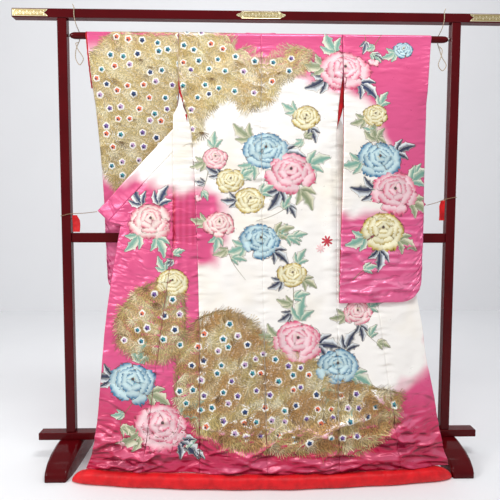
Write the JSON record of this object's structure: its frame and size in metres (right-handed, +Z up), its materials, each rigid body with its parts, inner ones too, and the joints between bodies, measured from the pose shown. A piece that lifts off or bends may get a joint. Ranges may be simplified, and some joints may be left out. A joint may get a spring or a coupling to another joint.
{
  "type": "uchikake wedding kimono on a kimono stand",
  "caption": "Embroidered silk over-kimono with a padded trailing hem, hung back-out with sleeves spread on a lacquered kimono stand with gilt plates.",
  "frame": {"origin": "on the floor, under the middle of the footprint", "axes": "+Z up; +X along the beam, to the right of a viewer who faces the robe's back; +Y away from that viewer"},
  "size_m": [1.901, 0.475, 1.7888],
  "materials": {
    "lacquer": "dark red gloss lacquer on wood",
    "gilt_plate": "gilt, chased with plain scrolls",
    "steel_pin": "turned",
    "silk_satin": "silk satin shaded from rose pink to white, with raised silk and gold-thread embroidery; red silk lining inside",
    "hem_silk": "red silk over wadding, softly puckered",
    "lining_silk": "deep red plain silk",
    "twine": "twisted twine",
    "ribbon": "folded plain silk"
  },
  "bodies": {
    "root": {"back_left": "silk_satin", "back_right": "silk_satin", "beam": "lacquer", "collar_left": "silk_satin", "collar_right": "silk_satin", "cuff_lining_left": "lining_silk", "foot_left": "lacquer", "foot_right": "lacquer", "front_left": "silk_satin", "front_right": "silk_satin", "hem_roll": "hem_silk", "over_collar_left": "silk_satin", "over_collar_right": "silk_satin", "overlap_left": "silk_satin", "overlap_right": "silk_satin", "pin_left": "steel_pin", "pin_right": "steel_pin", "plank_left": "lacquer", "plank_right": "lacquer", "plate_left_front": "gilt_plate", "plate_left_rear": "gilt_plate", "plate_middle_front": "gilt_plate", "plate_middle_rear": "gilt_plate", "plate_right_front": "gilt_plate", "plate_right_rear": "gilt_plate", "post_left": "lacquer", "post_right": "lacquer", "rail": "lacquer", "ribbon_left": "ribbon", "ribbon_right": "ribbon", "rod": "lacquer", "sleeve_left": "silk_satin", "sleeve_right": "silk_satin", "tie_left": "twine", "tie_right": "twine", "twine_left": "twine", "twine_right": "twine"}
  },
  "joints": []
}
